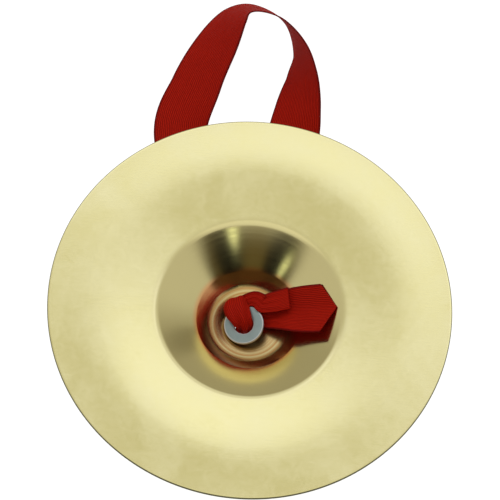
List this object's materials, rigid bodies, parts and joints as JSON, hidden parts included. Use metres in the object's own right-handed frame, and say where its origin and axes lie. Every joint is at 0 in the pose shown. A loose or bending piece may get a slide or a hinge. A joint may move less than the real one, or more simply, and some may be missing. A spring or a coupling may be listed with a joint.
{
  "type": "finger cymbal",
  "caption": "Dished metal hand cymbal with a flat striking ring, a stepped bell and a knotted ribbon finger strap held by a washer",
  "frame": {"origin": "where the axis of the cymbal meets the plane of its flat striking ring", "axes": "+Z out of the hollow side along the axis of the cymbal, +Y the way the finger loop lies, +X the way the ribbon's tails lie"},
  "size_m": [0.09, 0.1214, 0.016],
  "materials": {
    "cymbal_metal": "pale gold, satin flange, turned and polished bell",
    "washer_metal": "dull zinc grey",
    "ribbon": "red woven ribbon with a soft sheen"
  },
  "bodies": {
    "plate": {"cymbal": "cymbal_metal"},
    "strap": {"strap_knot": "ribbon"},
    "washer": {"washer": "washer_metal"},
    "loop": {"strap_loop": "ribbon"},
    "tails": {"strap_tail_long": "ribbon", "strap_tail_short": "ribbon"}
  },
  "joints": [
    {"name": "strap_swivel", "type": "hinge", "parent": "plate", "child": "strap", "pos_m": [0, 0, -0.01092], "axis": [0, 0, 1], "continuous": true},
    {"name": "washer_spin", "type": "hinge", "parent": "strap", "child": "washer", "pos_m": [-0.00095, -0.00065, -0.0083], "axis": [-0.1982, -0.1388, 0.9703], "continuous": true},
    {"name": "loop_swing", "type": "hinge", "parent": "strap", "child": "loop", "pos_m": [0, 0, -0.01217], "axis": [1, 0, 0], "range_deg": [-170, 5]},
    {"name": "tail_lift", "type": "hinge", "parent": "strap", "child": "tails", "pos_m": [0.00507, 0.0029, -0.00791], "axis": [-0.061, -0.9981, 0], "range_deg": [0, 50]}
  ]
}
